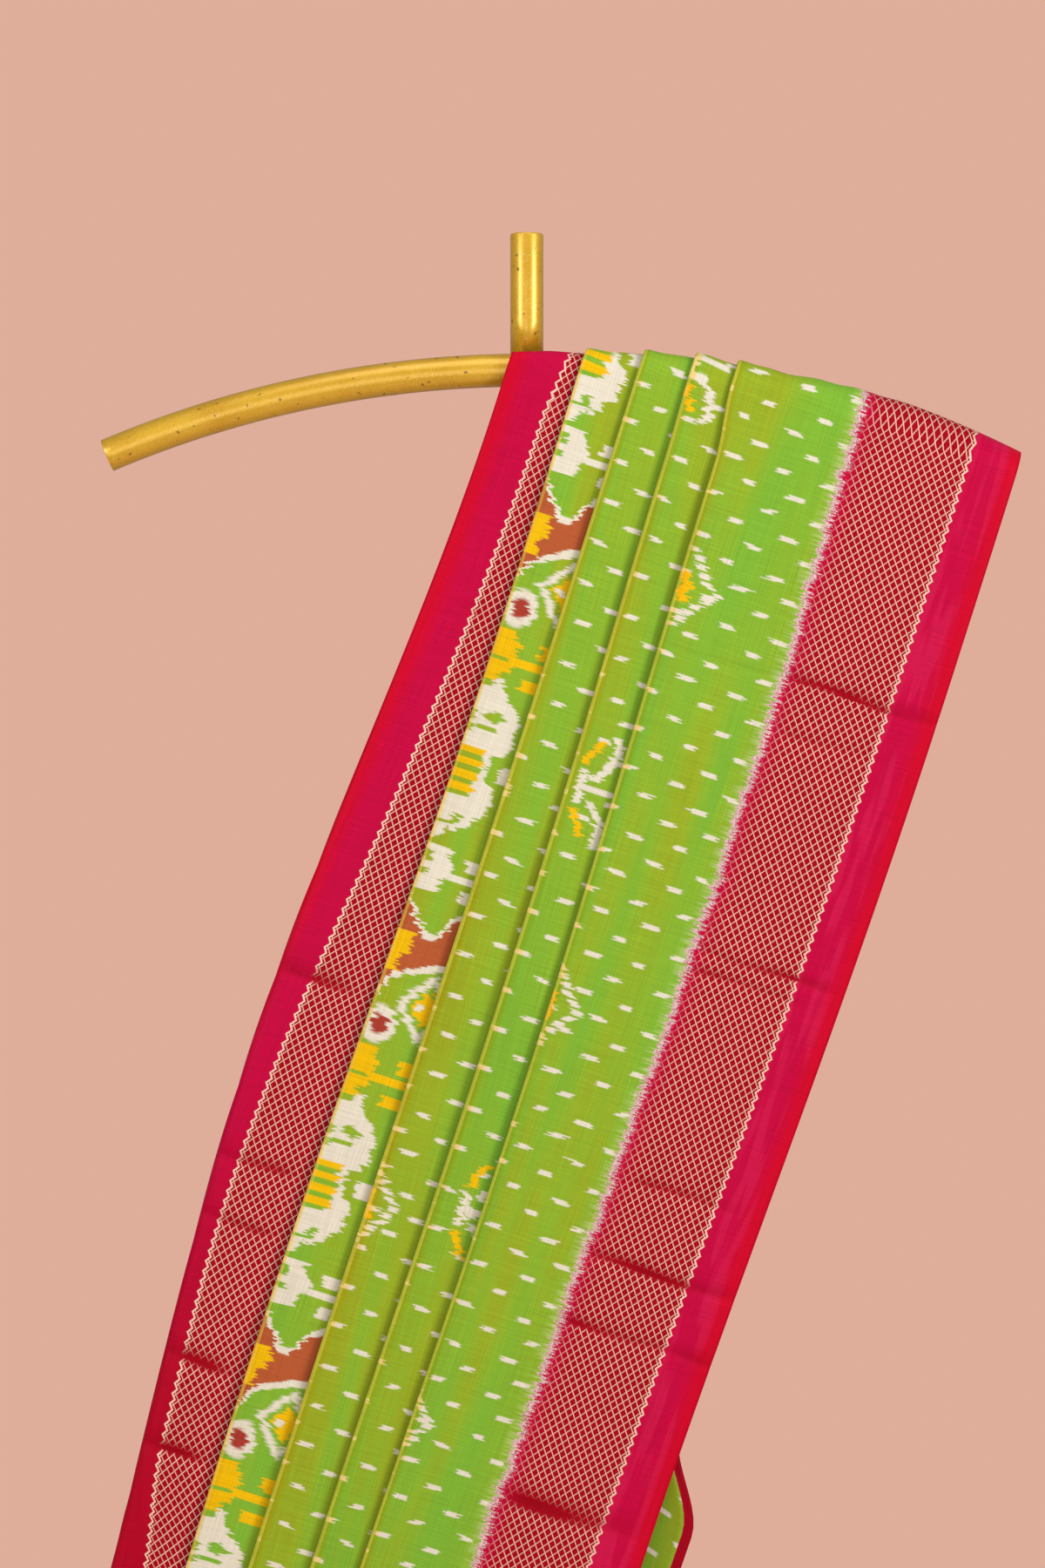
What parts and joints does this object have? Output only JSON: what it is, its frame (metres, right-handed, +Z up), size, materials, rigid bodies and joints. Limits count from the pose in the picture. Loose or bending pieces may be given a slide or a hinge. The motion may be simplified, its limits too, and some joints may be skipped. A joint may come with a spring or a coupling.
{
  "type": "ikat cloth hung on an arched tube bar",
  "caption": "Lengthwise-pleated ikat silk cloth with broad woven borders, draped over one arm of an arched tube hanging bar with an upright stub for fixing overhead.",
  "frame": {"origin": "centre of the upright tube's flat top, where the hanger is fixed overhead", "axes": "+Z up along the upright, +X along the bar towards the arm that carries the cloth, -Y towards the front fall of the cloth"},
  "size_m": [0.7315, 0.0546, 1.2313],
  "materials": {
    "ikat_silk": "plain-woven silk, lime green with cream ikat dashes, a band of animal motifs and crimson borders with a metallic lattice, soft sheen",
    "gold_paint": "satin gold metallic paint on steel tube"
  },
  "bodies": {
    "root": {"ikat_cloth": "ikat_silk", "hanger_bar": "gold_paint", "hanger_upright": "gold_paint"}
  },
  "joints": []
}
